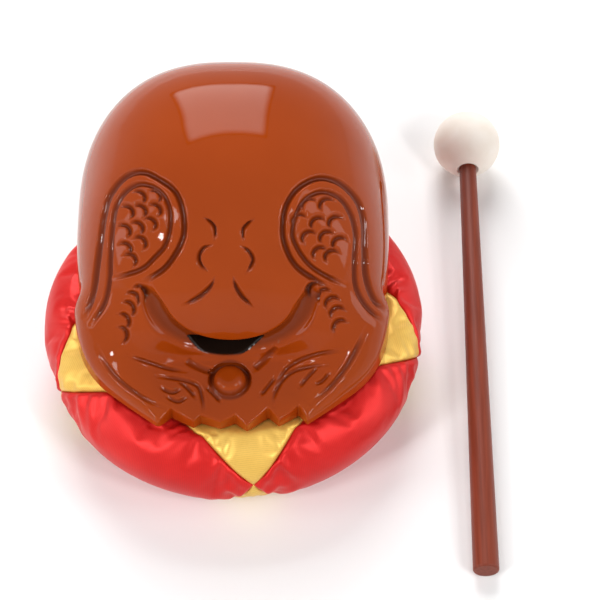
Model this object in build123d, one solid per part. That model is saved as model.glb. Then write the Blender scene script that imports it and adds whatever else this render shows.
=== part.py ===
from build123d import *
from math import asin, atan2, cos, hypot, pi, radians, sin, tan
import os

# A mokugyo (wooden fish) on its patchwork cushion, with its striker lying beside it.
# Millimetres. The origin is the middle of the cushion's flat underside, +Z is up and the fish's mouth
# faces -Y. The fish is carved from one block, the cushion is sewn from 15 panels round a stuffing.

# Fish: the underside, a shallow bowl that settles into the cushion
BOWL_RADIUS = 190.0
BOWL_MIDDLE_Y = 8.0
BOWL_LOW_Z = 26.0

# Fish: the bell and the chamber inside it
BELL_HALF_WIDTH = 51.0
BELL_HALF_DEPTH = 50.1
BELL_MIDDLE_Y = 22.1
BELL_RISE = 60.2
BELL_SQUARENESS = 2.5
BELL_FULLNESS = 2.27
BELLY_LIFT = 16.0
CHEEK_SQUARENESS = 1.6
CHEEK_RISE = 42.0
BELL_WALL = 9.0
CHAMBER_FLOOR = 12.0
BELL_POINTS = 48
BELL_LEVEL_TURNS = (2, 5.5, 10, 16, 23.5, 33, 43, 54, 65, 74, 81, 86.5)

# Fish: the lower jaw plate, its two arms and the pointed fins along its front
PLATE_REACH = 21.0
PLATE_LIFT = 14.0
PLATE_SLOPE = 4.0
PLATE_EDGE_ROUND = 2.0
ARM_INSET = 1.2
ARM_CORNER_SETBACK = 21.5
ARM_CORNER_RADIUS = 12.0
ARM_LENGTH = 38.0
ARM_END_RADIUS = 3.0
ARM_SWEEP = 15.0
ARM_SWEEP_RISE = 24.0
ARM_SWEEP_FRONT = (0.35, 0.95)
LIP_SWEEP_SHARE = 0.25
LIP_SWEEP_SPAN = (0.12, 0.5)
FIN_TIPS = ((-22.3, 0.0), (-11.6, 0.0), (-3.2, -0.2), (5.1, -1.4), (15.2, 0.5), (24.4, 0.2))
FIN_NOTCHES = ((-18.8, 4.2), (-9.4, 2.2), (1.4, 2.2), (11.8, 4.5), (21.4, 4.9))

# Fish: the mouth, the smile groove round the upper lip, and the pearl
MOUTH_HALF_WIDTH = 11.5
MOUTH_MIDDLE_X = -1.7
MOUTH_LIFT = 10.0
MOUTH_HEIGHT = 6.7
SMILE_RADIUS = 22.5
SMILE_WIDTH = 3.0
SMILE_DEPTH = 2.4
SMILE_HALF_TURN = 84.0
PEARL_SETBACK = 11.3
PEARL_RADIUS = 5.3
PEARL_RISE = 2.2
PEARL_GROOVE = 1.0

# Cushion
CUSHION_RADIUS = 62.8
CUSHION_EQUATOR_Z = 21.0
CUSHION_CROWN_RISE = 25.0
CUSHION_FLAT_RADIUS = 40.0
CUSHION_SIDES = 5
CUSHION_TURN = -83.4
PANEL_THICKNESS = 2.0
SEAM_ROUND = 1.0
SEAM_MARGIN = 0.4
PANEL_TIP_RADIUS = 34.0
PANEL_TIP_Z = 30.0
SEAM_APEX_DROP = 33.0
TUCK_RADIUS = 12.0
TUCK_DEPTH = 1.4
SEAT_CLEARANCE = 0.3

# Striker
HEAD_RADIUS = 11.7
HEAD_BORE_DEPTH = 14.0
HEAD_COUNTERSINK = 0.9
HANDLE_TIP_RADIUS = 2.85
HANDLE_END_RADIUS = 4.25
HANDLE_END_ROUND = 0.7
HANDLE_REACH = 167.6
GLUE_CLEARANCE = 0.05
STRIKER_X = 81.0
STRIKER_HEAD_Y = 84.6

# Places that follow from the sizes above
BELLY_Z = BOWL_LOW_Z + BELLY_LIFT
BELL_FRONT_Y = BELL_MIDDLE_Y - BELL_HALF_DEPTH
PLATE_FRONT_Y = BELL_FRONT_Y - PLATE_REACH
PLATE_FRONT_Z = BOWL_LOW_Z + PLATE_LIFT
ARM_HALF_WIDTH = BELL_HALF_WIDTH - ARM_INSET
ARM_CORNER_Y = PLATE_FRONT_Y + ARM_CORNER_SETBACK
ARM_END_Y = PLATE_FRONT_Y + ARM_LENGTH
MOUTH_TOP_Z = BELLY_Z + MOUTH_LIFT
PEARL_Y = PLATE_FRONT_Y + PEARL_SETBACK
PEARL_Z = PLATE_FRONT_Z + PEARL_SETBACK * tan(radians(PLATE_SLOPE))
HALF_SIDE = 180.0 / CUSHION_SIDES


def ease(value, span):
    """A smooth step from 0 below a span of values to 1 above it."""
    share = min(max((value - span[0]) / (span[1] - span[0]), 0.0), 1.0)
    return share * share * (3 - 2 * share)


def arm_sweep(z, turn):
    """How far the bell's foot sweeps forward into the two arms of the jaw, and a little below the mouth."""
    climb = min(max((z - PLATE_FRONT_Z) / ARM_SWEEP_RISE, 0.0), 1.0)
    beside_lip = LIP_SWEEP_SHARE + (1 - LIP_SWEEP_SHARE) * ease(abs(cos(turn)), LIP_SWEEP_SPAN)
    return ARM_SWEEP * (1 - climb) ** 2 * ease(-sin(turn), ARM_SWEEP_FRONT) * beside_lip


def bell_outline(z, shrink, swept):
    """One level outline of the bell: a squared ellipse, squarer low at the front where the cheeks are."""
    climb = max(0.0, (z - BELLY_Z) / (BELL_RISE - shrink))
    draw = (1 - climb ** BELL_FULLNESS) ** (1 / BELL_FULLNESS)
    cheek_climb = min(max((z - BELLY_Z) / CHEEK_RISE, 0.0), 1.0)
    cheek = CHEEK_SQUARENESS * (1 + cos(pi * cheek_climb)) / 2
    points = []
    for step in range(BELL_POINTS):
        turn = 2 * pi * step / BELL_POINTS
        square = BELL_SQUARENESS + cheek * ((1 - sin(turn)) / 2) ** 2
        reach = draw * (abs(cos(turn)) ** square + abs(sin(turn)) ** square) ** (-1 / square)
        x = (BELL_HALF_WIDTH - shrink) * reach * cos(turn)
        y = (BELL_HALF_DEPTH - shrink) * reach * sin(turn)
        forward = arm_sweep(z, turn) if swept else 0.0
        points.append((x, BELL_MIDDLE_Y + y - forward, z))
    return Face(Wire(Spline(points, periodic=True)))


def bell(shrink=0.0, swept=False):
    """The bell from its foot to its top, lofted through level outlines, drawn in by shrink."""
    rise = BELL_RISE - shrink
    levels = [BOWL_LOW_Z, PLATE_FRONT_Z] + [BELLY_Z + rise * sin(radians(turn)) for turn in BELL_LEVEL_TURNS]
    top = Vertex(0, BELL_MIDDLE_Y, BELLY_Z + rise)
    return loft([bell_outline(z, shrink, swept) for z in levels] + [top])


def bowl(extra=0.0):
    """The ball whose lower cap is the underside of the fish, made larger or smaller by extra."""
    return Pos(0, BOWL_MIDDLE_Y, BOWL_LOW_Z + BOWL_RADIUS) * Sphere(BOWL_RADIUS + extra)


def jaw_outline():
    """The plan of the jaw plate: two arms, a rounded corner each side and the pointed fins in front."""
    front = [FIN_TIPS[0]]
    for notch, tip in zip(FIN_NOTCHES, FIN_TIPS[1:]):
        front += [notch, tip]
    corners = [(-ARM_HALF_WIDTH, ARM_END_Y), (-ARM_HALF_WIDTH, ARM_CORNER_Y)]
    corners += [(x, PLATE_FRONT_Y + y) for x, y in front]
    corners += [(ARM_HALF_WIDTH, ARM_CORNER_Y), (ARM_HALF_WIDTH, ARM_END_Y)]
    plan = make_face(Polyline(corners, close=True))
    plan = fillet(plan.vertices().filter_by_position(Axis.Y, ARM_CORNER_Y, ARM_CORNER_Y), ARM_CORNER_RADIUS)
    return fillet(plan.vertices().filter_by_position(Axis.Y, ARM_END_Y, ARM_END_Y), ARM_END_RADIUS)


def jaw_plate():
    """The jaw plate, with its top falling gently to the front and its upper edge rounded."""
    block = extrude(jaw_outline(), BELLY_Z + BELL_RISE)
    slope = Vector(0, 0, 1).rotate(Axis.X, PLATE_SLOPE)
    plate = split(block, Plane((0, PLATE_FRONT_Y, PLATE_FRONT_Z), z_dir=slope), keep=Keep.BOTTOM)
    top = plate.faces().sort_by(Axis.Z)[-1]
    outer = [edge for edge in top.edges() if (edge @ 0.5).Y < ARM_END_Y - ARM_END_RADIUS]
    return fillet(outer, PLATE_EDGE_ROUND)


def forward_prism(face):
    """A prism along Y through the front wall, from a face drawn in the XZ plane, X across and Z up."""
    return Pos(0, BELL_MIDDLE_Y, 0) * extrude(Plane.XZ * face, BELL_MIDDLE_Y - PLATE_FRONT_Y)


def mouth():
    """The half-moon mouth that opens into the chamber: a straight upper lip and a curved lower one."""
    left = (MOUTH_MIDDLE_X - MOUTH_HALF_WIDTH, MOUTH_TOP_Z)
    right = (MOUTH_MIDDLE_X + MOUTH_HALF_WIDTH, MOUTH_TOP_Z)
    lower = ThreePointArc(right, (MOUTH_MIDDLE_X, MOUTH_TOP_Z - MOUTH_HEIGHT), left)
    return forward_prism(make_face([Line(left, right), lower]))


def smile_groove():
    """The groove round the upper lip, rising from the mouth up both cheeks, of even depth in the wall."""
    middle = (0, MOUTH_TOP_Z + SMILE_RADIUS)
    start = -90 - SMILE_HALF_TURN
    inner = CenterArc(middle, SMILE_RADIUS, start, 2 * SMILE_HALF_TURN)
    outer = CenterArc(middle, SMILE_RADIUS + SMILE_WIDTH, start, 2 * SMILE_HALF_TURN)
    ends = [Line(inner @ 0, outer @ 0), Line(inner @ 1, outer @ 1)]
    return forward_prism(make_face([inner, outer] + ends)) - bell(SMILE_DEPTH)


def make_fish():
    """The carved block: bell and jaw plate, hollowed through the mouth, with the pearl in its ring."""
    block = (bell(swept=True) + jaw_plate()) & bowl()
    block -= bell(BELL_WALL) & bowl(-CHAMBER_FLOOR)
    block -= mouth()
    block -= smile_groove()
    block -= Pos(0, PEARL_Y, PEARL_Z) * Cylinder(PEARL_RADIUS + PEARL_GROOVE, 2 * PEARL_GROOVE)
    return block + Pos(0, PEARL_Y, PEARL_Z + PEARL_RISE - PEARL_RADIUS) * Sphere(PEARL_RADIUS)


def cushion_form(inset=0.0):
    """The cushion, drawn in by inset all over: flat below, full at the sides, dished by the fish."""
    middle = CUSHION_EQUATOR_Z
    radius = CUSHION_RADIUS - inset
    crown = CUSHION_CROWN_RISE - inset
    flat = CUSHION_FLAT_RADIUS
    lower = EllipticalCenterArc((flat, middle), radius - flat, middle - inset, -90, arc_size=90)
    upper = EllipticalCenterArc((0, middle), radius, crown, 0, arc_size=90)
    base = Line((0, inset), (flat, inset))
    axis = Line((0, middle + crown), (0, inset))
    profile = make_face([base, lower, upper, axis])
    return revolve(Plane.XZ * profile, Axis.Z) - bowl(SEAT_CLEARANCE + inset)


def around(radius, turn, z):
    """A point at a radius and a turn in degrees about the cushion's axis."""
    return Vector(radius * cos(radians(turn)), radius * sin(radians(turn)), z)


def corner_tuck(turn):
    """The ball that dents the cover at an equator corner, where four seams pull it in."""
    return Pos(around(CUSHION_RADIUS + TUCK_RADIUS - TUCK_DEPTH, turn, CUSHION_EQUATOR_Z)) * Sphere(TUCK_RADIUS)


def keep_side(solid, a, b, c, inside):
    """The part of a solid that lies on the same side of the plane through a, b, c as the point inside."""
    plane = Plane(origin=a, x_dir=b - a, z_dir=(b - a).cross(c - a))
    above = (inside - a).dot(plane.z_dir) > 0
    return split(solid, plane, keep=Keep.TOP if above else Keep.BOTTOM)


def sector(solid, first_turn, last_turn):
    """The part of a solid between two turns about the cushion's axis."""
    low = Vector(0, 0, 0)
    high = Vector(0, 0, CUSHION_EQUATOR_Z)
    inside = around(CUSHION_RADIUS, (first_turn + last_turn) / 2, CUSHION_EQUATOR_Z)
    for turn in (first_turn, last_turn):
        solid = keep_side(solid, low, high, around(CUSHION_RADIUS, turn, 0), inside)
    return solid


def seam_points(turn, side, up):
    """Three points of the plane of one seam: its apex on the axis, its equator corner and its far tip."""
    apex = Vector(0, 0, CUSHION_EQUATOR_Z - up * SEAM_APEX_DROP)
    corner = around(CUSHION_RADIUS, turn, CUSHION_EQUATOR_Z)
    tip = around(PANEL_TIP_RADIUS, turn + side * HALF_SIDE, PANEL_TIP_Z if up > 0 else 0.0)
    return apex, corner, tip


def red_panel(cover, turn):
    """A red diamond between two equator corners, its points lying above and below."""
    panel = sector(cover, turn, turn + 2 * HALF_SIDE)
    inside = around(CUSHION_RADIUS, turn + HALF_SIDE, CUSHION_EQUATOR_Z)
    for up in (1, -1):
        panel = keep_side(panel, *seam_points(turn, 1, up), inside)
        panel = keep_side(panel, *seam_points(turn + 2 * HALF_SIDE, -1, up), inside)
    return panel


def gold_panel(half_cover, turn, up):
    """A gold kite from an equator corner to the middle of the cushion's top or underside."""
    panel = sector(half_cover, turn - HALF_SIDE, turn + HALF_SIDE)
    inside = Vector(0, 0, CUSHION_EQUATOR_Z + up * CUSHION_RADIUS)
    for side in (1, -1):
        panel = keep_side(panel, *seam_points(turn, side, up), inside)
    return panel


def turned_in(panel, stuffing):
    """The panel with its outer edges rounded, as cloth turns in where it is sewn."""
    apart = PANEL_THICKNESS - SEAM_MARGIN
    outer = [edge for edge in panel.edges() if Vertex(edge @ 0.5).distance_to(stuffing) > apart]
    return fillet(outer, SEAM_ROUND)


def handle_form(extra=0.0):
    """The tapered stick along +Z from the middle of its thick end, made fatter and longer by extra."""
    length = HANDLE_REACH - HEAD_RADIUS + HEAD_BORE_DEPTH + extra
    tip = HANDLE_TIP_RADIUS + extra
    end = HANDLE_END_RADIUS + extra
    profile = make_face(Polyline((0, 0), (end, 0), (tip, length), (0, length), close=True))
    stick = revolve(Plane.XZ * profile, Axis.Z)
    return fillet(stick.edges().sort_by(Axis.Z)[0], HANDLE_END_ROUND)


def head_form():
    """The ball on the stick's thin end, with a countersunk blind bore for it."""
    ball = Pos(0, 0, HANDLE_REACH) * Sphere(HEAD_RADIUS)
    ball -= handle_form(GLUE_CLEARANCE)
    mouth_edge = ball.edges().filter_by(GeomType.CIRCLE).sort_by(Axis.Z)[0]
    return chamfer(mouth_edge, HEAD_COUNTERSINK)


def lay_down(piece):
    """A piece of the striker laid on the floor: the ball and the rounded rim of the thick end touch it."""
    rim_reach = HANDLE_REACH - HANDLE_END_ROUND
    rim_radius = HANDLE_END_RADIUS - HANDLE_END_ROUND
    rise = HEAD_RADIUS - HANDLE_END_ROUND
    tilt = asin(rise / hypot(rim_reach, rim_radius)) - atan2(rim_radius, rim_reach)
    flat = Pos(0, 0, -HANDLE_REACH) * piece
    return Pos(STRIKER_X, STRIKER_HEAD_Y, HEAD_RADIUS) * Rot(X=tilt * 180 / pi - 90) * flat


def make_cushion():
    """The stuffing and the 15 panels of its cover, by node name."""
    stuffing = cushion_form(PANEL_THICKNESS)
    cover = cushion_form() - stuffing
    turns = [CUSHION_TURN + 2 * HALF_SIDE * side for side in range(CUSHION_SIDES)]
    for turn in turns:
        cover -= corner_tuck(turn)
    equator = Plane((0, 0, CUSHION_EQUATOR_Z))
    upper = split(cover, equator, keep=Keep.TOP)
    lower = split(cover, equator, keep=Keep.BOTTOM)
    nodes = {"stuffing": stuffing}
    for number, turn in enumerate(turns, start=1):
        nodes[f"red_panel_{number}"] = red_panel(cover, turn)
        nodes[f"gold_top_panel_{number}"] = turned_in(gold_panel(upper, turn, 1), stuffing)
        nodes[f"gold_bottom_panel_{number}"] = gold_panel(lower, turn, -1)
    return nodes


def main():
    nodes = {"fish_body": make_fish()}
    nodes.update(make_cushion())
    nodes["striker_handle"] = lay_down(handle_form())
    nodes["striker_head"] = lay_down(head_form())
    os.makedirs("parts", exist_ok=True)
    for name, solid in nodes.items():
        export_step(solid, f"parts/{name}.step")


main()
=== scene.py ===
import math

import bmesh
import bpy
import numpy as np
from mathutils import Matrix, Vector


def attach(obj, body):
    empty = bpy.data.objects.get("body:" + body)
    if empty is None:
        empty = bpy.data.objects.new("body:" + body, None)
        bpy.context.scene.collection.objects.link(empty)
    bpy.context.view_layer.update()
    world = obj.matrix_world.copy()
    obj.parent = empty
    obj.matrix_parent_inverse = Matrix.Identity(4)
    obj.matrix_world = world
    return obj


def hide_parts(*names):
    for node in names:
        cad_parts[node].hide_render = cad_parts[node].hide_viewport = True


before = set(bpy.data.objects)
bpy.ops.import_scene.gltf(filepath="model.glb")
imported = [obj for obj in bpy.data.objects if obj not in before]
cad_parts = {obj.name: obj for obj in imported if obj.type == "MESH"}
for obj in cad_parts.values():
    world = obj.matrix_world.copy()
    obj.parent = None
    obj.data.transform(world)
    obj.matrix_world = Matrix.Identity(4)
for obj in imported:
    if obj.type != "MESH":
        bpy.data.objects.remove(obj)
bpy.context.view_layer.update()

# A mokugyo (wooden fish) on its patchwork cushion, with its striker beside it.
# Sizes are millimetres in the part's own frame and become metres when a mesh is made.
MM = 0.001

# Camera, fitted to the outlines in the photograph
PICTURE = 600
CAMERA_TARGET = np.array([21.8, 9.0, 23.3])
CAMERA_DISTANCE = 800.0
CAMERA_ELEVATION = math.radians(55.0)
FOCAL_PIXELS = 2400.0
SENSOR = 36.0
CAMERA_AHEAD = np.array([0.0, math.cos(CAMERA_ELEVATION), -math.sin(CAMERA_ELEVATION)])
CAMERA_UP = np.array([0.0, math.sin(CAMERA_ELEVATION), math.cos(CAMERA_ELEVATION)])
CAMERA_PLACE = CAMERA_TARGET - CAMERA_DISTANCE * CAMERA_AHEAD

# Fish: bell, underside and chamber
HALF_WIDTH = 51.0
HALF_DEPTH = 50.1
MIDDLE_Y = 22.1
BELLY_Z = 42.0
RISE = 60.2
FULLNESS = 2.27
SQUARENESS = 2.5
CHEEK_SQUARENESS = 1.6
CHEEK_RISE = 42.0
WALL = 9.0
BOWL_RADIUS = 190.0
BOWL_MIDDLE = (0.0, 8.0, 216.0)
CHAMBER_FLOOR = 12.0
CHAMBER_BLEND = 4.0
CHAMBER_EDGE = 0.5
BOWL_EDGE = 0.8

# Fish: jaw with its two arms and pointed fins
FRONT_Y = -49.0
PLATE_Z = 40.0
PLATE_SLOPE = math.tan(math.radians(12.5))
ARM_HALF_WIDTH = 49.8
ARM_CORNER_Y = -27.5
ARM_END_Y = -11.0
FIN_OUTER_X = 23.4
ARM_CHAIN = (
    (28.0, -14.0, 48.5, 14.0), (37.0, -15.0, 42.0, 13.0),
    (33.0, -27.0, 37.5, 10.0), (24.0, -41.0, 34.0, 7.0),
)
ARM_BLEND = 7.0
ARM_END_BLEND = 3.0
ARM_PLATE_BLEND = 5.0
ELBOW_BLEND = 12.0
FIN_STEEPNESS = 0.75
FIN_BLEND = 0.3
PLATE_EDGE = 0.5
PLATE_EDGE_ADDED = 3.1
PLATE_EDGE_SPAN = (20.0, 32.0)
JAW_BLEND = 2.0
JAW_BLEND_ADDED = 5.0
JAW_BLEND_SPAN = (14.0, 30.0)
FIN_EDGE = (
    (-22.3, 0.0), (-18.8, 4.2), (-11.6, 0.0), (-9.4, 2.2), (-3.2, -0.2), (1.4, 2.2),
    (5.1, -1.4), (11.8, 4.5), (15.2, 0.5), (21.4, 4.9), (24.4, 0.2),
)

# Fish: mouth, smile crease and pearl
MOUTH_X = -1.7
MOUTH_TOP_Z = 52.0
MOUTH_HALF_WIDTH = 11.5
MOUTH_HEIGHT = 6.7
SMILE_RADIUS = 25.2
SMILE_MIDDLE_Z = 74.5
SMILE_GOUGE = 4.0
SMILE_LIFT = 1.3
SMILE_END_RISE = 3.0
SMILE_FADE = 12.0
SMILE_EDGE = 1.0
LIP_EDGE = 1.0
PEARL = np.array([-0.4, -35.6, 42.9])
PEARL_RADIUS = 5.3
PEARL_GROOVE = 1.1
PEARL_RISE = 3.9
PEARL_GAP = 0.4
PEARL_GROOVE_EDGE = 0.5
PEARL_FOOT_BLEND = 0.3
PEARL_SHADE_HEIGHT = 2.5
PEARL_SHADE_WIDTH = 1.3

# Fish: its mesh, and which part of it is divided finely for the carving
FISH_LOW = np.array([-54.0, -53.0, 24.0])
FISH_HIGH = np.array([54.0, 75.0, 105.0])
FISH_STEP = 0.65
FINE_BACK_Y = 26.0
FINE_BOTTOM_Z = 33.0

# Fish: half width in pixels and depth in mm of the carved strokes
TEAR_OUTER_CUT = (3.6, 1.5)
TEAR_INNER_CUT = (3.2, 1.25)
SCALE_CUT = (6.5, 1.4)
FACE_DEPTH = 1.6
FIN_CUT = (2.6, 0.9)
BAR_CUT = (4.2, 0.8)

# Fish: radius, facing and spread of the scales' arcs, in pixels and degrees
LEFT_SCALE_ARC = (7.0, 40.0, 85.0)
RIGHT_SCALE_ARC = (7.5, 125.0, 85.0)
ARM_SCALE_RADIUS = 8.5
ARM_SCALE_SPREAD = 75.0

# Fish: form of the strokes, as shares of their length, width or depth
GROOVE_END = 0.15
SCOOP_END = 0.2
SCOOP_TAPER = 0.25
SCOOP_TIP = 0.25
SCOOP_WALL = 0.22
EDGE_ON = 0.02
FACE_ON = 0.2

# Cushion
CUSHION_RADIUS = 62.8
EQUATOR_Z = 21.0
CROWN_RISE = 25.0
FLAT_RADIUS = 40.0
SIDES = 5
CUSHION_TURN = -83.4
HALF_SIDE = 36.0
TIP_RADIUS = 34.0
TIP_Z = 30.0
APEX_DROP = 33.0
SEAT_CLEARANCE = 0.3
CROWN_STEPS = 120
SIDE_STEPS = 60
BASE_STEPS = 50
PANEL_CELLS = 48
SEAM_SINK = 1.3
PANEL_SINK = 0.6
PUFF_CAP = 2.6
PUCKER_REACH = 2.4
PUCKER_HEIGHT = 0.45
CLOTH_THICKNESS = 1.0
CLOTH_FRAMES = 20
SIM_SCALE = 0.01
WADDING_DEPTH = 4.0
WADDING_FLOOR = 2.5

# Materials: where a colour ramp starts and ends, and the numbers of the colour mix node's sockets
RAMP_LOW = 0.3
RAMP_HIGH = 0.7
MIX_SHARE = 0
MIX_FIRST = 6
MIX_SECOND = 7
MIX_RESULT = 2

# Stage: the floor's half size in mm, everything else in metres and watts
SQUARE = np.array([(-1, -1, 0), (1, -1, 0), (1, 1, 0), (-1, 1, 0)])
FLOOR_HALF = 900.0
FLOOR_DROP = 0.0002
WORLD_STRENGTH = 0.12
SOFTBOX_GLOW = 7.2
SOFTBOX_HALF = (0.53, 0.58)
SOFTBOX_PLACE = Vector((-0.12, 1.1, 0.95))
SOFTBOX_AIM = Vector((0.0, 0.03, 0.08))
SOFTBOX_FADE_FROM = 0.75
LAMP_AIM = Vector((0.0, 0.01, 0.06))
LAMPS = (
    ("left_strip", (-0.95, -0.2, 0.45), (0.3, 0.9), 3.4),
    ("right_strip", (0.95, -0.2, 0.45), (0.3, 0.9), 3.4),
    ("left_lamp", (-0.6, -0.55, 0.8), (0.22, 0.22), 3.0),
    ("right_lamp", (0.6, -0.55, 0.8), (0.2, 0.2), 2.7),
    ("left_spark", (-0.55, -0.55, 0.42), (0.07, 0.07), 1.3),
    ("right_spark", (0.5, -0.6, 0.45), (0.06, 0.06), 1.0),
)


def ease(value, low, high):
    """A smooth step from 0 at low to 1 at high."""
    share = np.clip((value - low) / (high - low), 0.0, 1.0)
    return share * share * (3.0 - 2.0 * share)


def union(a, b, soft):
    """Two solids, given as distance fields, joined with a soft blend."""
    share = np.clip(0.5 + 0.5 * (b - a) / soft, 0.0, 1.0)
    return b * (1.0 - share) + a * share - soft * share * (1.0 - share)


def meet(a, b, soft):
    """What two solids have in common, with a soft edge."""
    return -union(-a, -b, soft)


def cut(a, b, soft):
    """The first solid without the second, with a soft edge."""
    return -union(-a, b, soft)


# Fish form

def bell_field(x, y, z, shrink=0.0):
    """The squared dome, squarer low at the front where the cheeks are."""
    across = x / (HALF_WIDTH - shrink)
    along = (y - MIDDLE_Y) / (HALF_DEPTH - shrink)
    climb = np.maximum(0.0, z - BELLY_Z) / (RISE - shrink)
    plan = np.hypot(across, along) + 1e-9
    front = (1.0 - along / plan) / 2.0
    height = np.clip((z - BELLY_Z) / CHEEK_RISE, 0.0, 1.0)
    cheek = CHEEK_SQUARENESS * (1.0 + np.cos(np.pi * height)) / 2.0
    square = SQUARENESS + cheek * front**2
    plan = plan * ((np.abs(across) / plan) ** square + (np.abs(along) / plan) ** square) ** (1.0 / square)
    return ((plan**FULLNESS + climb**FULLNESS) ** (1.0 / FULLNESS) - 1.0) * HALF_DEPTH


def ball_field(x, y, z, middle, radius):
    """A ball."""
    return np.sqrt((x - middle[0]) ** 2 + (y - middle[1]) ** 2 + (z - middle[2]) ** 2) - radius


def round_cone(x, y, z, start, end):
    """A bar with round ends that tapers from one ball to another, each given as x, y, z and radius."""
    a, b = np.array(start[:3]), np.array(end[:3])
    run = b - a
    share = ((x - a[0]) * run[0] + (y - a[1]) * run[1] + (z - a[2]) * run[2]) / (run @ run)
    share = np.clip(share, 0.0, 1.0)
    middle = [a[k] + share * run[k] for k in range(3)]
    return ball_field(x, y, z, middle, start[3] + share * (end[3] - start[3]))


def arm_field(x, y, z):
    """One rounded arm on each side, from the cheek round the elbow to the outermost fin."""
    links = [round_cone(np.abs(x), y, z, a, b) for a, b in zip(ARM_CHAIN[:-1], ARM_CHAIN[1:])]
    return union(union(links[0], links[1], ARM_BLEND), links[2], ARM_BLEND)


def jaw_field(x, y, z):
    """The jaw: a sloping plate with pointed fins along the front, between the two arms."""
    side = np.abs(x) - ARM_HALF_WIDTH
    run = np.array([FIN_OUTER_X - ARM_HALF_WIDTH, FRONT_Y - ARM_CORNER_Y])
    out = np.array([-run[1], run[0]]) / np.hypot(*run)
    elbow = side * out[0] + (y - ARM_CORNER_Y) * out[1]
    fins = np.array(FIN_EDGE)
    front = FIN_STEEPNESS * (np.interp(x, fins[:, 0], FRONT_Y + fins[:, 1]) - y)
    plan = meet(meet(side, elbow, ELBOW_BLEND), front, FIN_BLEND)
    plan = meet(plan, y - ARM_END_Y, ARM_END_BLEND)
    plate = z - PLATE_Z - PLATE_SLOPE * (y - FRONT_Y)
    plate = union(plate, arm_field(x, y, z), ARM_PLATE_BLEND)
    edge = PLATE_EDGE + PLATE_EDGE_ADDED * ease(np.abs(x), *PLATE_EDGE_SPAN)
    return meet(plan, plate, edge)


def mouth_field(x, y, z):
    """The half-moon mouth: a straight upper lip and a curved lower one."""
    bend = (MOUTH_HALF_WIDTH**2 + MOUTH_HEIGHT**2) / (2.0 * MOUTH_HEIGHT)
    middle_z = MOUTH_TOP_Z - MOUTH_HEIGHT + bend
    arc = np.hypot(x - MOUTH_X, z - middle_z) - bend
    return np.maximum(np.maximum(arc, z - MOUTH_TOP_Z), y - MIDDLE_Y)


def fish_field(x, y, z):
    """The whole carved block before its fine carving."""
    bell = bell_field(x, y, z)
    blend = JAW_BLEND + JAW_BLEND_ADDED * ease(np.abs(x), *JAW_BLEND_SPAN)
    block = union(bell, jaw_field(x, y, z), blend)
    ring = np.hypot(x, z - SMILE_MIDDLE_Z)
    lower = ease(SMILE_MIDDLE_Z + SMILE_END_RISE - z, 0.0, SMILE_FADE)
    crease = np.hypot(ring - SMILE_RADIUS, bell - SMILE_LIFT) - SMILE_GOUGE * lower
    crease = np.maximum(crease, y - MIDDLE_Y)
    block = cut(block, crease, SMILE_EDGE)
    block = meet(block, ball_field(x, y, z, BOWL_MIDDLE, BOWL_RADIUS), BOWL_EDGE)
    around_pearl = np.hypot(x - PEARL[0], y - PEARL[1]) - PEARL_RADIUS - PEARL_GAP
    groove = np.hypot(around_pearl, z - PEARL[2]) - PEARL_GROOVE
    block = cut(block, groove, PEARL_GROOVE_EDGE)
    pearl_middle = PEARL + np.array([0.0, 0.0, PEARL_RISE - PEARL_RADIUS])
    block = union(block, ball_field(x, y, z, pearl_middle, PEARL_RADIUS), PEARL_FOOT_BLEND)
    chamber = bell_field(x, y, z, WALL)
    floor = ball_field(x, y, z, BOWL_MIDDLE, BOWL_RADIUS - CHAMBER_FLOOR)
    block = cut(block, meet(chamber, floor, CHAMBER_BLEND), CHAMBER_EDGE)
    return cut(block, mouth_field(x, y, z), LIP_EDGE)


def grid_net(field, low, step):
    """Vertices and quads of a sampled field's zero surface, one vertex in each cell that it crosses."""
    cells = np.array(field.shape) - 1
    total = np.zeros((*cells, 3), np.float32)
    count = np.zeros(cells, np.float32)
    for axis in range(3):
        for i in (0, 1):
            for j in (0, 1):
                start = np.insert([i, j], axis, 0)
                end = np.insert([i, j], axis, 1)
                a = field[tuple(slice(s, s + n) for s, n in zip(start, cells))]
                b = field[tuple(slice(s, s + n) for s, n in zip(end, cells))]
                crosses = (a < 0) != (b < 0)
                share = np.where(crosses, a / np.where(crosses, a - b, 1.0), 0.0)
                for k in range(3):
                    total[..., k] += np.where(crosses, start[k] + (share if k == axis else 0.0), 0.0)
                count += crosses
    active = count > 0
    index = np.full(tuple(cells), -1)
    index[active] = np.arange(active.sum())
    points = low + step * (np.argwhere(active) + total[active] / count[active][:, None])
    inside = field < 0
    quads = []
    for axis in range(3):
        order = (axis, (axis + 1) % 3, (axis + 2) % 3)
        state = np.transpose(inside, order)
        cell = np.transpose(index, order)
        first, last = state[:-1, 1:-1, 1:-1], state[1:, 1:-1, 1:-1]
        corners = [cell[:, :-1, :-1], cell[:, 1:, :-1], cell[:, 1:, 1:], cell[:, :-1, 1:]]
        ring = np.stack(corners, axis=-1)
        quads += [ring[first & ~last], ring[last & ~first][:, ::-1]]
    return points, np.concatenate(quads)


def settle(points, field, rounds=2):
    """Points moved onto a field's zero surface, and the surface's normals there."""
    reach = 0.05
    least_slope = 0.2
    longest_step = 0.4
    for _ in range(rounds + 1):
        slope = np.stack([
            field(*(points + reach * axis).T) - field(*(points - reach * axis).T) for axis in np.eye(3)
        ], axis=1) / (2.0 * reach)
        steep = np.maximum(np.linalg.norm(slope, axis=1, keepdims=True), least_slope)
        shift = np.clip(field(*points.T)[:, None] / steep, -longest_step, longest_step)
        points = points - shift * slope / steep
    return points, slope / np.maximum(np.linalg.norm(slope, axis=1, keepdims=True), 1e-9)


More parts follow.
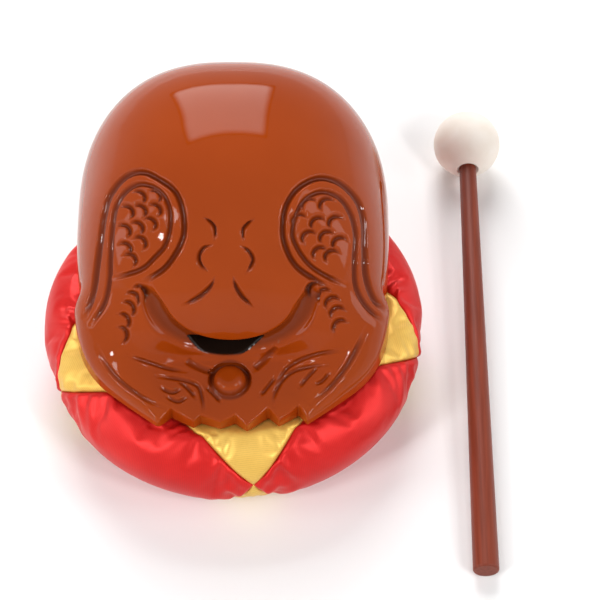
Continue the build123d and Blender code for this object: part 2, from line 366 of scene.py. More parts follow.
def to_picture(points):
    """Where points of the object fall in the photograph's frame, in pixels."""
    sight = points - CAMERA_PLACE
    depth = sight @ CAMERA_AHEAD
    return np.stack([
        PICTURE / 2 + FOCAL_PIXELS * sight[:, 0] / depth,
        PICTURE / 2 - FOCAL_PIXELS * (sight @ CAMERA_UP) / depth,
    ], axis=1)


# Fine carving: strokes drawn in the photograph's pixels

def curve(points, spacing=1.0):
    """A smooth line through a few points, evenly sampled."""
    p = np.array(points, float)
    if len(p) == 2:
        p = np.array([p[0], p.mean(0), p[1]])
    q = np.vstack([2 * p[0] - p[1], p, 2 * p[-1] - p[-2]])
    t = np.linspace(0.0, 1.0, 24, endpoint=False)[:, None]
    runs = []
    for a, b, c, d in zip(q[:-3], q[1:-2], q[2:-1], q[3:]):
        bend = 2 * a - 5 * b + 4 * c - d
        twist = 3 * b - a - 3 * c + d
        runs.append(0.5 * (2 * b + (c - a) * t + bend * t**2 + twist * t**3))
    line = np.vstack(runs + [p[-1:]])
    length = np.concatenate([[0.0], np.cumsum(np.linalg.norm(np.diff(line, axis=0), axis=1))])
    steps = np.linspace(0.0, length[-1], max(4, int(length[-1] / spacing)))
    return np.stack([np.interp(steps, length, line[:, k]) for k in (0, 1)], axis=1)


def arc(middle, radius, facing, spread):
    """Points of an arc about a middle, facing in degrees anticlockwise from the picture's right."""
    turn = np.radians(np.linspace(facing + spread, facing - spread, 7))
    return [(middle[0] + radius * math.cos(a), middle[1] - radius * math.sin(a)) for a in turn]


class Carving:
    """Collects how deep each vertex of the fish is cut in, from strokes seen in the picture."""

    def __init__(self, pixels, seen):
        self.pixels = pixels
        self.seen = seen
        self.depth = np.zeros(len(pixels))

    def near(self, line, reach):
        """The vertices near a line, with their signed distance from it and place along it."""
        low, high = line.min(0) - reach, line.max(0) + reach
        close = np.flatnonzero(self.seen & np.all((self.pixels > low) & (self.pixels < high), axis=1))
        away = self.pixels[close][:, None, :] - line[None, :, :]
        nearest = (away**2).sum(2).argmin(1)
        run = np.gradient(line, axis=0)
        run /= np.linalg.norm(run, axis=1, keepdims=True)
        gap = away[np.arange(len(close)), nearest]
        side = run[nearest, 0] * gap[:, 1] - run[nearest, 1] * gap[:, 0]
        beyond = np.abs((gap * run[nearest]).sum(1))
        distance = np.hypot(side, np.where((nearest == 0) | (nearest == len(line) - 1), beyond, 0.0))
        return close, np.copysign(distance, side), nearest / (len(line) - 1)

    def groove(self, points, half_width, depth, taper=0.15):
        """A rounded groove that shallows at its ends."""
        close, away, share = self.near(curve(points), half_width)
        ends = np.minimum(ease(share, 0.0, taper), ease(1.0 - share, 0.0, taper))
        ends = ends * (1.0 - GROOVE_END) + GROOVE_END
        form = np.clip(1.0 - (away / half_width) ** 2, 0.0, 1.0)
        self.depth[close] = np.maximum(self.depth[close], depth * ends * form)

    def scoop(self, points, half_width, depth, steep):
        """A gouge cut with a long slope and a steep wall, on the stroke's right where steep is 1."""
        close, away, share = self.near(curve(points), half_width * 1.2)
        belly = np.sin(np.pi * np.clip(share, 0.02, 0.98)) ** 0.7
        width = half_width * (SCOOP_TIP + (1.0 - SCOOP_TIP) * belly)
        across = -steep * away / width
        wall = ease(across, -SCOOP_WALL, 0.0)
        slope = np.clip(1.0 - across, 0.0, 1.0) ** 1.2
        ends = np.minimum(ease(share, 0.0, SCOOP_TAPER), ease(1.0 - share, 0.0, SCOOP_TAPER))
        ends = ends * (1.0 - SCOOP_END) + SCOOP_END
        self.depth[close] = np.maximum(self.depth[close], depth * ends * wall * slope)


LEFT_TEAR_OUTER = (
    (84, 318), (93, 293), (97, 265), (101, 235), (104, 215), (110, 195), (125, 177), (142, 172), (160, 180),
    (175, 192), (182, 210), (184, 230), (180, 245), (170, 262), (160, 272), (143, 282),
)
LEFT_TEAR_INNER = (
    (91, 325), (104, 303), (109, 280), (110, 258), (112, 228), (116, 206), (127, 190), (141, 184), (158, 190),
    (168, 205), (170, 225), (165, 245), (155, 257), (140, 270), (113, 278),
)
RIGHT_TEAR_OUTER = (
    (386, 312), (373, 297), (366, 275), (365, 250), (364, 222), (357, 200), (340, 183), (320, 178),
    (300, 187), (287, 205), (283, 230), (287, 250), (297, 267), (315, 280), (331, 289),
)
RIGHT_TEAR_INNER = (
    (383, 322), (365, 304), (356, 285), (355, 260), (356, 235), (351, 214), (339, 197), (320, 192),
    (302, 204), (293, 230), (297, 247), (310, 265), (328, 277), (345, 284),
)
LEFT_SCALES = (
    (136, 199), (152, 198), (124, 214), (137, 213), (152, 212), (121, 233), (134, 230), (147, 226),
    (122, 251), (137, 245), (127, 262),
)
RIGHT_SCALES = (
    (311, 207), (329, 207), (301, 223), (320, 226), (338, 225), (311, 240), (329, 240), (342, 246),
    (322, 256), (334, 259),
)
LEFT_ARM_SCALES = ((137, 296, 50), (129, 302, 40), (124, 311, 30), (119, 323, 25), (117, 336, 15))
RIGHT_ARM_SCALES = ((318, 293, 140), (327, 299, 130), (335, 307, 120), (340, 317, 120), (343, 330, 130))
FACE_SCOOPS = (
    (((204, 217), (212, 222), (216, 229), (215, 240)), 4.5, -1),
    (((254, 219), (247, 223), (242, 230), (243, 241)), 4.5, 1),
    (((212, 245), (204, 249), (200, 257), (202, 265), (208, 271)), 5.0, -1),
    (((241, 246), (248, 252), (252, 260), (249, 268), (246, 273)), 5.0, 1),
    (((215, 278), (211, 288), (202, 297), (191, 303), (183, 305)), 6.0, -1),
    (((233, 278), (235, 288), (241, 298), (248, 304), (253, 307)), 6.0, 1),
)
ARM_GROOVES = (
    (((97, 347), (104, 361), (117, 378), (136, 393), (152, 402), (166, 407)), 3.2, 0.9),
    (((367, 328), (361, 341), (347, 366), (330, 387), (311, 403)), 3.6, 1.0),
)
FIN_LINES = (
    ((129, 356), (148, 362), (168, 368), (186, 371)),
    ((157, 376), (180, 379), (197, 385), (202, 397), (204, 413)),
    ((160, 387), (172, 392), (182, 388)),
    ((166, 396), (178, 401), (188, 396)),
    ((178, 380), (188, 388), (196, 398)),
    ((344, 350), (315, 355), (292, 364), (281, 376), (274, 392)),
    ((327, 364), (298, 369), (284, 378), (275, 393), (273, 406)),
    ((318, 366), (308, 376), (299, 387)),
    ((330, 372), (322, 381), (314, 384)),
    ((276, 376), (268, 386), (260, 396)),
    ((206, 386), (214, 394), (221, 402)),
)
PEARL_BARS = (
    ((277, 347), (266, 358), (254, 369)),
    ((186, 360), (199, 367), (213, 372)),
)


def carve_fish(points, normals):
    """Cuts the two carved fish, their scales and the gouge marks, and gives the points and the depths."""
    pixels = to_picture(points)
    sight = points - CAMERA_PLACE
    facing = -(sight * normals).sum(1) / np.linalg.norm(sight, axis=1)
    outside = bell_field(*points.T, WALL) > 1.0
    work = Carving(pixels, outside & (facing > EDGE_ON))
    for line in (LEFT_TEAR_OUTER, RIGHT_TEAR_OUTER):
        work.groove(line, *TEAR_OUTER_CUT, taper=0.06)
    for line in (LEFT_TEAR_INNER, RIGHT_TEAR_INNER):
        work.groove(line, *TEAR_INNER_CUT, taper=0.06)
    for spot in LEFT_SCALES:
        work.scoop(arc(spot, *LEFT_SCALE_ARC), *SCALE_CUT, 1)
    for spot in RIGHT_SCALES:
        work.scoop(arc(spot, *RIGHT_SCALE_ARC), *SCALE_CUT, 1)
    for x, y, turn in LEFT_ARM_SCALES + RIGHT_ARM_SCALES:
        work.scoop(arc((x, y), ARM_SCALE_RADIUS, turn, ARM_SCALE_SPREAD), *SCALE_CUT, 1)
    for line, width, steep in FACE_SCOOPS:
        work.scoop(line, width, FACE_DEPTH, steep)
    for line, width, depth in ARM_GROOVES:
        work.groove(line, width, depth, taper=0.3)
    for line in FIN_LINES:
        work.groove(line, *FIN_CUT, taper=0.25)
    for line in PEARL_BARS:
        work.groove(line, *BAR_CUT, taper=0.1)
    depth = ease(facing, EDGE_ON, FACE_ON) * work.depth
    return points - normals * depth[:, None], depth


def make_fish():
    """The fish: its form from the field, finely divided where it is carved, then the carving."""
    x, y, z = (np.arange(a, b, FISH_STEP) for a, b in zip(FISH_LOW, FISH_HIGH))
    field = fish_field(x[:, None, None], y[None, :, None], z[None, None, :]).astype(np.float32)
    points, quads = grid_net(field, FISH_LOW, FISH_STEP)
    points, _ = settle(points, fish_field)
    points, quads = divide_front(points, quads)
    points, normals = settle(points, fish_field)
    points, depth = carve_fish(points, normals)
    fish = add_mesh("fish_carving", points, quads)
    # Painted shade: a ring round the pearl's foot, stored with the carving depths so that the lacquer darkens
    # it.
    around_pearl = np.hypot(points[:, 0] - PEARL[0], points[:, 1] - PEARL[1]) - PEARL_RADIUS - PEARL_GAP
    level = np.abs(points[:, 2] - PEARL[2]) < PEARL_SHADE_HEIGHT
    ring = np.where(level, 1.0 - (around_pearl / PEARL_SHADE_WIDTH) ** 2, 0.0)
    give_values(fish, "carved", np.maximum(depth, ring))
    # Painted shade: the mouth's walls and the chamber inside go near black, and places sunk below the dome's
    # outer surface, such as the smile crease, go darker, fading out towards the underside over the bowl.
    above_bowl = -ball_field(*points.T, BOWL_MIDDLE, BOWL_RADIUS)
    inward = -bell_field(*points.T)
    in_mouth = (np.abs(mouth_field(*points.T)) < 0.6) & (points[:, 2] < MOUTH_TOP_Z + 0.5)
    mouth = ease(inward, 0.0, 0.8)
    crease = 0.4 * ease(inward, 0.6, 2.6) + 0.6 * ease(inward, 3.0, 5.0)
    dark = np.where(in_mouth, mouth, crease)
    give_values(fish, "hollow", dark * ease(above_bowl, 2.0, 5.0))
    return fish


def divide_front(points, faces):
    """Divides the faces of the carved front in four, so that the strokes come out crisp."""
    mesh = bpy.data.meshes.new("fish_divide")
    mesh.from_pydata(points.tolist(), [], faces.tolist())
    form = bmesh.new()
    form.from_mesh(mesh)
    middles = np.array([face.calc_center_median() for face in form.faces])
    outside = bell_field(*middles.T, WALL) > 2.0
    front = (middles[:, 1] < FINE_BACK_Y) & outside & (middles[:, 2] > FINE_BOTTOM_Z)
    chosen = [face for face, keep in zip(form.faces, front) if keep]
    edges = {edge for face in chosen for edge in face.edges}
    bmesh.ops.subdivide_edges(form, edges=list(edges), cuts=1, use_grid_fill=True)
    form.verts.index_update()
    points = np.array([vert.co for vert in form.verts])
    faces = [[vert.index for vert in face.verts] for face in form.faces]
    form.free()
    bpy.data.meshes.remove(mesh)
    return points, faces


def give_values(piece, name, values):
    """Stores one number for each vertex, for the materials to read."""
    layer = piece.data.attributes.new(name, "FLOAT", "POINT")
    layer.data.foreach_set("value", np.asarray(values, np.float32))


def add_mesh(name, points, faces):
    """A new smooth mesh object from points in millimetres."""
    mesh = bpy.data.meshes.new(name)
    faces = faces.tolist() if isinstance(faces, np.ndarray) else faces
    mesh.from_pydata((np.asarray(points) * MM).tolist(), [], faces)
    mesh.update()
    mesh.shade_smooth()
    piece = bpy.data.objects.new(name, mesh)
    bpy.context.scene.collection.objects.link(piece)
    return piece


# Cushion: fifteen four-sided panels on one closed skin

def profile():
    """The cushion's half section, top middle to underside's middle: radius, height and length along it."""
    crown = np.radians(np.linspace(0.0, 90.0, CROWN_STEPS))
    side = np.radians(np.linspace(0.0, 90.0, SIDE_STEPS))[1:]
    base = np.linspace(FLAT_RADIUS, 0.0, BASE_STEPS)[1:]
    radius = np.concatenate([
        CUSHION_RADIUS * np.sin(crown), FLAT_RADIUS + (CUSHION_RADIUS - FLAT_RADIUS) * np.cos(side), base
    ])
    height = np.concatenate([
        EQUATOR_Z + CROWN_RISE * np.cos(crown), EQUATOR_Z * (1.0 - np.sin(side)), np.zeros(len(base))
    ])
    length = np.concatenate([[0.0], np.cumsum(np.hypot(np.diff(radius), np.diff(height)))])
    return radius, height, length


RADIUS, HEIGHT, LENGTH = profile()


def seam(turn, side, up):
    """One seam from an equator corner to a tip, as turns and lengths along the section."""
    share = np.linspace(0.0, 1.0, PANEL_CELLS + 1)
    angle = np.radians(HALF_SIDE)
    rise = (HEIGHT - (EQUATOR_Z - up * APEX_DROP)) * up / np.maximum(RADIUS, 1e-6)
    corner = APEX_DROP / CUSHION_RADIUS
    tip_z = TIP_Z if up > 0 else 0.0
    tip = (APEX_DROP + up * (tip_z - EQUATOR_Z)) / TIP_RADIUS
    wanted = (corner * np.sin(angle * (1.0 - share)) + tip * np.sin(angle * share)) / np.sin(angle)
    equator = LENGTH[CROWN_STEPS - 1]
    half = (LENGTH <= equator) if up > 0 else (LENGTH >= equator)
    order = np.argsort(rise[half])
    length = np.interp(wanted, rise[half][order], LENGTH[half][order])
    return turn + side * HALF_SIDE * share, length


def flat_map(turn, length):
    """Turn and length along the section as a point of a flat round map."""
    return np.stack([length * np.cos(np.radians(turn)), length * np.sin(np.radians(turn))], axis=-1)


def fill_patch(bottom, top, left, right):
    """Points that fill a four-sided patch between its edges, each edge an array of points."""
    n = len(bottom)
    u = np.linspace(0.0, 1.0, n)[:, None, None]
    v = np.linspace(0.0, 1.0, n)[None, :, None]
    ruled = (1 - v) * bottom[:, None] + v * top[:, None] + (1 - u) * left[None] + u * right[None]
    corners = (1 - u) * (1 - v) * bottom[0] + u * (1 - v) * bottom[-1]
    corners = corners + (1 - u) * v * top[0] + u * v * top[-1]
    return ruled - corners


def on_cushion(flat, from_below):
    """Points of the cushion's skin from a flat map about the top or the underside."""
    length = np.linalg.norm(flat, axis=-1)
    turn = np.arctan2(flat[..., 1], flat[..., 0])
    along = LENGTH[-1] - length if from_below else length
    radius = np.interp(along, LENGTH, RADIUS)
    height = np.interp(along, LENGTH, HEIGHT)
    x, y = radius * np.cos(turn), radius * np.sin(turn)
    return np.stack([x, y, np.minimum(height, dish(x, y))], axis=-1)


def dish(x, y):
    """The height of the cushion's hollow under the fish."""
    radius = BOWL_RADIUS + SEAT_CLEARANCE
    return BOWL_MIDDLE[2] - np.sqrt(np.maximum(radius**2 - x**2 - (y - BOWL_MIDDLE[1]) ** 2, 0.0))


def panel_patches():
    """The fifteen panels by node name, each a square net of points on the skin."""
    patches = {}
    for number in range(1, SIDES + 1):
        turn = CUSHION_TURN + 2 * HALF_SIDE * (number - 1)
        far = turn + 2 * HALF_SIDE
        up_left, up_right = flat_map(*seam(turn, 1, 1)), flat_map(*seam(far, -1, 1))
        low_left, low_right = flat_map(*seam(turn, 1, -1)), flat_map(*seam(far, -1, -1))
        diamond = fill_patch(low_left, up_right[::-1], up_left, low_right[::-1])
        patches[f"red_panel_{number}"] = on_cushion(diamond, False)
        for name, up in (("gold_top_panel", 1), ("gold_bottom_panel", -1)):
            edges = []
            for side in (1, -1):
                turns, lengths = seam(turn, side, up)
                lengths = lengths if up > 0 else LENGTH[-1] - lengths
                edges.append(flat_map(turns, lengths))
            middle = np.zeros(2)
            share = np.linspace(0.0, 1.0, PANEL_CELLS + 1)[:, None]
            to_middle = [edge[-1] * (1 - share) + middle * share for edge in edges]
            kite = fill_patch(edges[0], to_middle[1], edges[1], to_middle[0])
            patches[f"{name}_{number}"] = on_cushion(kite, up < 0)
    return patches


def weld(patches):
    """All panels as one closed skin: its points, and their numbers in each panel's net."""
    stacked = np.concatenate([net.reshape(-1, 3) for net in patches.values()])
    _, first, number = np.unique(np.round(stacked, 2), axis=0, return_index=True, return_inverse=True)
    number = number.reshape(len(patches), PANEL_CELLS + 1, PANEL_CELLS + 1)
    return stacked[first], dict(zip(patches, number))


def net_faces(net):
    """The quads of one square net."""
    return np.stack([net[:-1, :-1], net[1:, :-1], net[1:, 1:], net[:-1, 1:]], axis=-1).reshape(-1, 4)


def outward(points, nets):
    """Turns the nets so that every face looks out of the cushion, and gives the skin's normals."""
    normals = np.zeros_like(points)
    faces = {}
    middle = np.array([0.0, 0.0, EQUATOR_Z])
    for name, net in nets.items():
        quads = net_faces(net)
        a, b, c, d = (points[quads[:, k]] for k in range(4))
        face_normal = np.cross(c - a, d - b)
        if ((a + c) / 2 - middle).mean(0) @ face_normal.mean(0) < 0:
            quads, face_normal = quads[:, ::-1], -face_normal
        faces[name] = quads
        for k in range(4):
            np.add.at(normals, quads[:, k], face_normal)
    return faces, normals / np.maximum(np.linalg.norm(normals, axis=1, keepdims=True), 1e-9)


def inflate(points, faces, seams):
    """Blows the skin up by cloth simulation between its sewn seams and gives the new points."""
    skin = add_mesh("cushion_cloth", points * SIM_SCALE / MM, np.concatenate(list(faces.values())))
    pins = skin.vertex_groups.new(name="sewn")
    pins.add([int(i) for i in np.flatnonzero(seams)], 1.0, "REPLACE")
    cloth = skin.modifiers.new("cloth", "CLOTH")
    cloth.settings.quality = 5
    cloth.settings.mass = 0.3
    cloth.settings.tension_stiffness = 15.0
    cloth.settings.compression_stiffness = 15.0
    cloth.settings.bending_stiffness = 0.2
    cloth.settings.use_pressure = True
    cloth.settings.uniform_pressure_force = 4.0
    cloth.settings.shrink_min = -0.05
    cloth.settings.vertex_group_mass = "sewn"
    cloth.settings.effector_weights.gravity = 0.0
    for step in range(1, CLOTH_FRAMES + 1):
        bpy.context.scene.frame_set(step)
    shown = skin.evaluated_get(bpy.context.evaluated_depsgraph_get())
    flat = np.zeros(len(points) * 3, np.float32)
    shown.data.vertices.foreach_get("co", flat)
    bpy.context.scene.frame_set(1)
    bpy.data.objects.remove(skin)
    return flat.reshape(-1, 3).astype(float) / SIM_SCALE


def puckers(nets, count):
    """How far the stitching gathers each point of the skin up or down, near the seams."""
    lift = np.zeros(count)
    cells = np.arange(PANEL_CELLS + 1)
    row, column = np.meshgrid(cells, cells, indexing="ij")
    from_row = np.minimum(row, PANEL_CELLS - row)
    from_column = np.minimum(column, PANEL_CELLS - column)
    place = np.where(from_row < from_column, column, row) * 1.0
    away = np.minimum(from_row, from_column) / PUCKER_REACH
    for number, net in enumerate(nets.values()):
        wave = np.sin(1.35 * place + 1.1 * np.sin(0.37 * place + number) + 2.0 * number)
        uneven = 0.6 + 0.4 * np.sin(0.23 * place + 3.0 * number)
        lift[net] = PUCKER_HEIGHT * wave * away * np.exp(1.0 - away) * uneven
    return lift


def make_cushion():
    """The cushion's panels as separate cloth pieces, and the wadding inside."""
    points, nets = weld(panel_patches())
    faces, normals = outward(points, nets)
    seams = np.zeros(len(points), bool)
    for net in nets.values():
        for edge in (net[0], net[-1], net[:, 0], net[:, -1]):
            seams[edge] = True
    start = points - normals * np.where(seams, SEAM_SINK, PANEL_SINK)[:, None]
    puffed = inflate(start, faces, seams)
    move = puffed - start
    far = np.linalg.norm(move, axis=1, keepdims=True)
    puffed = start + move * np.minimum(1.0, PUFF_CAP / np.maximum(far, 1e-9))
    puffed = puffed + normals * puckers(nets, len(points))[:, None]
    puffed[:, 2] = np.minimum(puffed[:, 2], dish(puffed[:, 0], puffed[:, 1]))
    puffed[:, 2] = np.maximum(puffed[:, 2], 0.0)
    pieces = []
    across, along = np.zeros(len(points)), np.zeros(len(points))
    rows, columns = np.divmod(np.arange((PANEL_CELLS + 1) ** 2), PANEL_CELLS + 1)
    for name, quads in faces.items():
        used, local = np.unique(quads, return_inverse=True)
        piece = add_mesh(name + "_cloth", puffed[used], local.reshape(-1, 4))
        spots = nets[name].ravel()
        across[spots] = rows / PANEL_CELLS
        along[spots] = columns / PANEL_CELLS
        give_values(piece, "across", across[used])
        give_values(piece, "along", along[used])
        finer = piece.modifiers.new("finer", "SUBSURF")
        finer.levels = finer.render_levels = 1
        finer.boundary_smooth = "PRESERVE_CORNERS"
        thick = piece.modifiers.new("thick", "SOLIDIFY")
        thick.thickness = CLOTH_THICKNESS * MM
        thick.offset = -1.0
        pieces.append((name, piece))
    inner = points - normals * WADDING_DEPTH
    inner[:, 2] = np.maximum(inner[:, 2], WADDING_FLOOR)
    wadding = add_mesh("stuffing_wadding", inner, np.concatenate(list(faces.values())))
    return pieces, wadding


# Materials

def material(name, colour, roughness, specular=0.5):
    """A new node material with a plain shader to build on."""
    mat = bpy.data.materials.new(name)
    mat.use_nodes = True
    shader = mat.node_tree.nodes["Principled BSDF"]
    shader.inputs["Base Color"].default_value = (*colour, 1.0)
    shader.inputs["Roughness"].default_value = roughness
    shader.inputs["Specular IOR Level"].default_value = specular
    return mat, shader


def node(mat, kind, links=(), **values):
    """A new node with its properties or inputs set, and links from other sockets into its inputs."""
    new = mat.node_tree.nodes.new(kind)
    for key, value in values.items():
        if hasattr(new, key):
            setattr(new, key, value)
        else:
            new.inputs[key].default_value = value
    for target, source in links:
        mat.node_tree.links.new(source, new.inputs[target])
    return new


def ramp(mat, source, dark, light):
    """A value turned into a colour between two."""
    new = node(mat, "ShaderNodeValToRGB", [("Fac", source)])
    first, last = new.color_ramp.elements
    first.position, last.position = RAMP_LOW, RAMP_HIGH
    first.color, last.color = (*dark, 1.0), (*light, 1.0)
    return new.outputs["Color"]


def mix_colour(mat, share, first, second, blend="MIX"):
    """A colour from a socket, mixed with a plain one by a share."""
    new = node(mat, "ShaderNodeMix", data_type="RGBA", blend_type=blend)
    mat.node_tree.links.new(share, new.inputs[MIX_SHARE])
    mat.node_tree.links.new(first, new.inputs[MIX_FIRST])
    new.inputs[MIX_SECOND].default_value = (*second, 1.0)
    return new.outputs[MIX_RESULT]


def bump(mat, shader, height, distance, strength=1.0):
    """Bump from a height on a shader's normal."""
    new = node(mat, "ShaderNodeBump", [("Height", height)], Distance=distance, Strength=strength)
    mat.node_tree.links.new(new.outputs["Normal"], shader.inputs["Normal"])


def lacquer():
    """Brown gloss lacquer over wood, with painted shade: darker in the carved grooves and the ring round the
    pearl, near black in the mouth and the chamber, and darker in the smile crease.
    """
    mat, shader = material("brown_lacquer", (0.36, 0.066, 0.012), 0.4, 0.0)
    shader.inputs["Coat Weight"].default_value = 0.85
    shader.inputs["Coat IOR"].default_value = 1.25
    shader.inputs["Coat Roughness"].default_value = 0.05
    place = node(mat, "ShaderNodeTexCoord").outputs["Object"]
    cloud = node(mat, "ShaderNodeTexNoise", [("Vector", place)], Scale=28.0, Detail=4.0)
    body = ramp(mat, cloud.outputs["Fac"], (0.305, 0.041, 0.002), (0.345, 0.049, 0.003))
    # Painted shade: the deeper a vertex is cut, and on the ring round the pearl, the darker its colour.
    carved = node(mat, "ShaderNodeAttribute", attribute_name="carved")
    deep = node(mat, "ShaderNodeMapRange", [("Value", carved.outputs["Fac"])])
    deep.inputs["From Min"].default_value = 0.15
    deep.inputs["From Max"].default_value = 1.0
    outside = mix_colour(mat, deep.outputs[0], body, (0.17, 0.024, 0.004))
    # Painted shade: the mouth, the chamber and the smile crease are coloured darker, down to near black.
    hollow = node(mat, "ShaderNodeAttribute", attribute_name="hollow")
    colour = mix_colour(mat, hollow.outputs["Fac"], outside, (0.012, 0.006, 0.004))
    mat.node_tree.links.new(colour, shader.inputs["Base Color"])
    orange_peel = node(mat, "ShaderNodeTexNoise", [("Vector", place)], Scale=420.0, Detail=2.0)
    bump(mat, shader, orange_peel.outputs["Fac"], 0.00003, 0.25)
    return mat


def satin(name, colour, dark, light):
    """Satin cloth: a fine diagonal weave, soft sheen and a little colour drift."""
    mat, shader = material(name, colour, 0.38, 0.22)
    shader.inputs["Metallic"].default_value = 0.3
    place = node(mat, "ShaderNodeTexCoord").outputs["Object"]
    drift = node(mat, "ShaderNodeTexNoise", [("Vector", place)], Scale=60.0, Detail=3.0)
    base = ramp(mat, drift.outputs["Fac"], dark, light)
    across = node(mat, "ShaderNodeAttribute", attribute_name="across").outputs["Fac"]
    along = node(mat, "ShaderNodeAttribute", attribute_name="along").outputs["Fac"]
    cloth = node(mat, "ShaderNodeCombineXYZ", [("X", across), ("Y", along)]).outputs[0]
    twill = node(mat, "ShaderNodeTexWave", [("Vector", cloth)], bands_direction="DIAGONAL", Scale=42.0)
    threads = node(mat, "ShaderNodeTexNoise", [("Vector", cloth)], Scale=70.0, Detail=3.0)
    lines = [(0, twill.outputs["Fac"]), (1, threads.outputs["Fac"])]
    weave = node(mat, "ShaderNodeMath", lines, operation="MULTIPLY")
    shade = mix_colour(mat, weave.outputs[0], base, (0.8, 0.77, 0.75), "MULTIPLY")
    mat.node_tree.links.new(shade, shader.inputs["Base Color"])
    bump(mat, shader, weave.outputs[0], 0.00006, 0.3)
    return mat


def wadding_material():
    """Pale loose fibre."""
    mat, shader = material("wadding", (0.8, 0.78, 0.72), 0.95, 0.1)
    place = node(mat, "ShaderNodeTexCoord").outputs["Object"]
    fibre = node(mat, "ShaderNodeTexNoise", [("Vector", place)], Scale=300.0, Detail=6.0)
    colour = ramp(mat, fibre.outputs["Fac"], (0.7, 0.68, 0.62), (0.88, 0.86, 0.8))
    mat.node_tree.links.new(colour, shader.inputs["Base Color"])
    bump(mat, shader, fibre.outputs["Fac"], 0.0006)
    return mat


def stick_material():
    """Red-brown stained stick with fine grain along it."""
    mat, shader = material("stained_stick", (0.23, 0.045, 0.02), 0.4, 0.2)
    place = node(mat, "ShaderNodeTexCoord").outputs["Object"]
    along = node(mat, "ShaderNodeMapping", [("Vector", place)])
    along.inputs["Scale"].default_value = (900.0, 24.0, 900.0)
    grain = node(mat, "ShaderNodeTexNoise", [("Vector", along.outputs[0])], Scale=1.0, Detail=5.0)
    colour = ramp(mat, grain.outputs["Fac"], (0.15, 0.027, 0.013), (0.23, 0.046, 0.023))
    mat.node_tree.links.new(colour, shader.inputs["Base Color"])
    bump(mat, shader, grain.outputs["Fac"], 0.00008, 0.6)
    return mat


def ball_material():
    """Smooth cream ball."""
    mat, shader = material("cream_ball", (0.84, 0.76, 0.68), 0.5, 0.2)
    place = node(mat, "ShaderNodeTexCoord").outputs["Object"]
    drift = node(mat, "ShaderNodeTexNoise", [("Vector", place)], Scale=140.0, Detail=4.0)
    colour = ramp(mat, drift.outputs["Fac"], (0.84, 0.75, 0.66), (0.89, 0.82, 0.75))
    mat.node_tree.links.new(colour, shader.inputs["Base Color"])
    bump(mat, shader, drift.outputs["Fac"], 0.0001, 0.3)
    return mat


def wear(piece, mat):
    """Gives a piece one material."""
    piece.data.materials.clear()
    piece.data.materials.append(mat)


# Stage

def add_camera():
    """The camera at the photograph's viewpoint."""
    data = bpy.data.cameras.new("camera")
    data.sensor_width = SENSOR
    data.lens = FOCAL_PIXELS / PICTURE * SENSOR
    data.clip_end = 20.0
    camera = bpy.data.objects.new("camera", data)
    bpy.context.scene.collection.objects.link(camera)
    ahead = Vector(CAMERA_AHEAD)
    camera.location = (Vector(CAMERA_TARGET) - CAMERA_DISTANCE * ahead) * MM
    camera.rotation_euler = ahead.to_track_quat("-Z", "Y").to_euler()
    bpy.context.scene.camera = camera


def add_light(name, place, size, power):
    """A soft rectangular lamp at a place, aimed at the fish."""
    data = bpy.data.lights.new(name, "AREA")
    data.shape = "RECTANGLE"
    data.size, data.size_y = size
    data.energy = power
    lamp = bpy.data.objects.new(name, data)
    lamp.location = place
    lamp.rotation_euler = (LAMP_AIM - Vector(place)).to_track_quat("-Z", "Y").to_euler()
    bpy.context.scene.collection.objects.link(lamp)


def add_stage():
    """A pale floor, a world that is white where it is seen or mirrored, and soft lamps."""
    floor = add_mesh("floor", SQUARE * FLOOR_HALF, [[0, 1, 2, 3]])
    floor.location.z = -FLOOR_DROP
    mat, _ = material("pale_floor", (0.94, 0.94, 0.94), 0.9, 0.1)
    wear(floor, mat)
    world = bpy.data.worlds.new("world")
    bpy.context.scene.world = world
    world.use_nodes = True
    sky = world.node_tree.nodes["Background"]
    sky.inputs["Color"].default_value = (1.0, 1.0, 1.0, 1.0)
    path = node(world, "ShaderNodeLightPath")
    seen = path.outputs["Is Camera Ray"]
    for kind in ("Is Glossy Ray", "Is Transmission Ray"):
        either = node(world, "ShaderNodeMath", [(0, seen), (1, path.outputs[kind])], operation="MAXIMUM")
        seen = either.outputs[0]
    strength = node(world, "ShaderNodeMapRange", [("Value", seen)])
    strength.inputs["To Min"].default_value = WORLD_STRENGTH
    strength.inputs["To Max"].default_value = 1.0
    world.node_tree.links.new(strength.outputs[0], sky.inputs["Strength"])
    add_softbox()
    for lamp in LAMPS:
        add_light(*lamp)


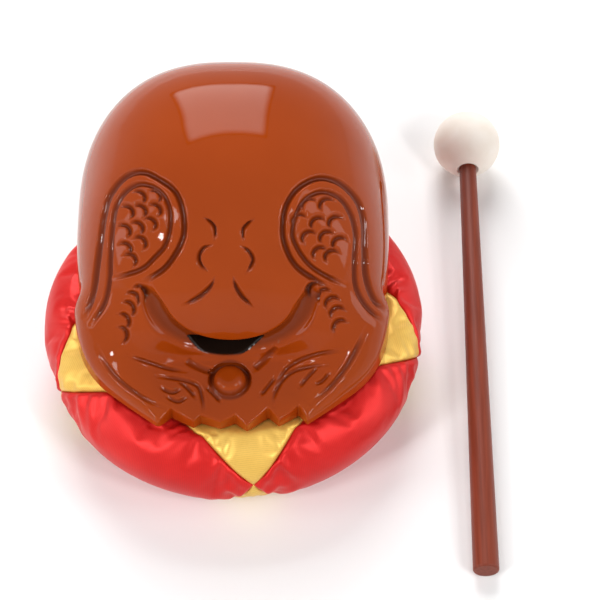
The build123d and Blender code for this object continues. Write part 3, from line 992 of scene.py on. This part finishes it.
def add_softbox():
    """A large softbox behind and above the fish, fading towards its edges."""
    box = add_mesh("softbox", SQUARE / MM, [[0, 1, 2, 3]])
    box.scale = (*SOFTBOX_HALF, 1.0)
    box.location = SOFTBOX_PLACE
    box.rotation_euler = (SOFTBOX_AIM - SOFTBOX_PLACE).to_track_quat("Z", "Y").to_euler()
    mat = bpy.data.materials.new("softbox_glow")
    mat.use_nodes = True
    mat.node_tree.nodes.clear()
    place = node(mat, "ShaderNodeTexCoord").outputs["Object"]
    axes = node(mat, "ShaderNodeSeparateXYZ", [(0, place)])
    fades = []
    for axis in ("X", "Y"):
        away = node(mat, "ShaderNodeMath", [(0, axes.outputs[axis])], operation="ABSOLUTE")
        fade = node(mat, "ShaderNodeMapRange", [("Value", away.outputs[0])], interpolation_type="SMOOTHSTEP")
        fade.inputs["From Min"].default_value = SOFTBOX_FADE_FROM
        fade.inputs["From Max"].default_value = 1.0
        fade.inputs["To Min"].default_value = 1.0
        fade.inputs["To Max"].default_value = 0.0
        fades.append(fade.outputs[0])
    both = node(mat, "ShaderNodeMath", [(0, fades[0]), (1, fades[1])], operation="MULTIPLY")
    glow = node(mat, "ShaderNodeMath", [(0, both.outputs[0])], operation="MULTIPLY")
    glow.inputs[1].default_value = SOFTBOX_GLOW
    light = node(mat, "ShaderNodeEmission", [("Strength", glow.outputs[0])])
    node(mat, "ShaderNodeOutputMaterial", [("Surface", light.outputs[0])])
    wear(box, mat)


def main():
    """Sets the stage, then makes the fish and the cushion and gives the striker its materials."""
    bpy.context.scene.view_settings.view_transform = "Standard"
    add_camera()
    add_stage()
    fish = make_fish()
    wear(fish, lacquer())
    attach(fish, "fish")
    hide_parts("fish_body")
    red = satin("red_satin", (0.62, 0.014, 0.012), (0.57, 0.011, 0.01), (0.67, 0.018, 0.015))
    gold = satin("gold_satin", (0.78, 0.48, 0.1), (0.74, 0.43, 0.08), (0.82, 0.53, 0.12))
    panels, wadding = make_cushion()
    for name, piece in panels:
        is_red = name.startswith("red")
        wear(piece, red if is_red else gold)
        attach(piece, "cushion")
        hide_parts(name)
    wear(wadding, wadding_material())
    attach(wadding, "cushion")
    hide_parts("stuffing")
    wear(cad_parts["striker_handle"], stick_material())
    wear(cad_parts["striker_head"], ball_material())


main()
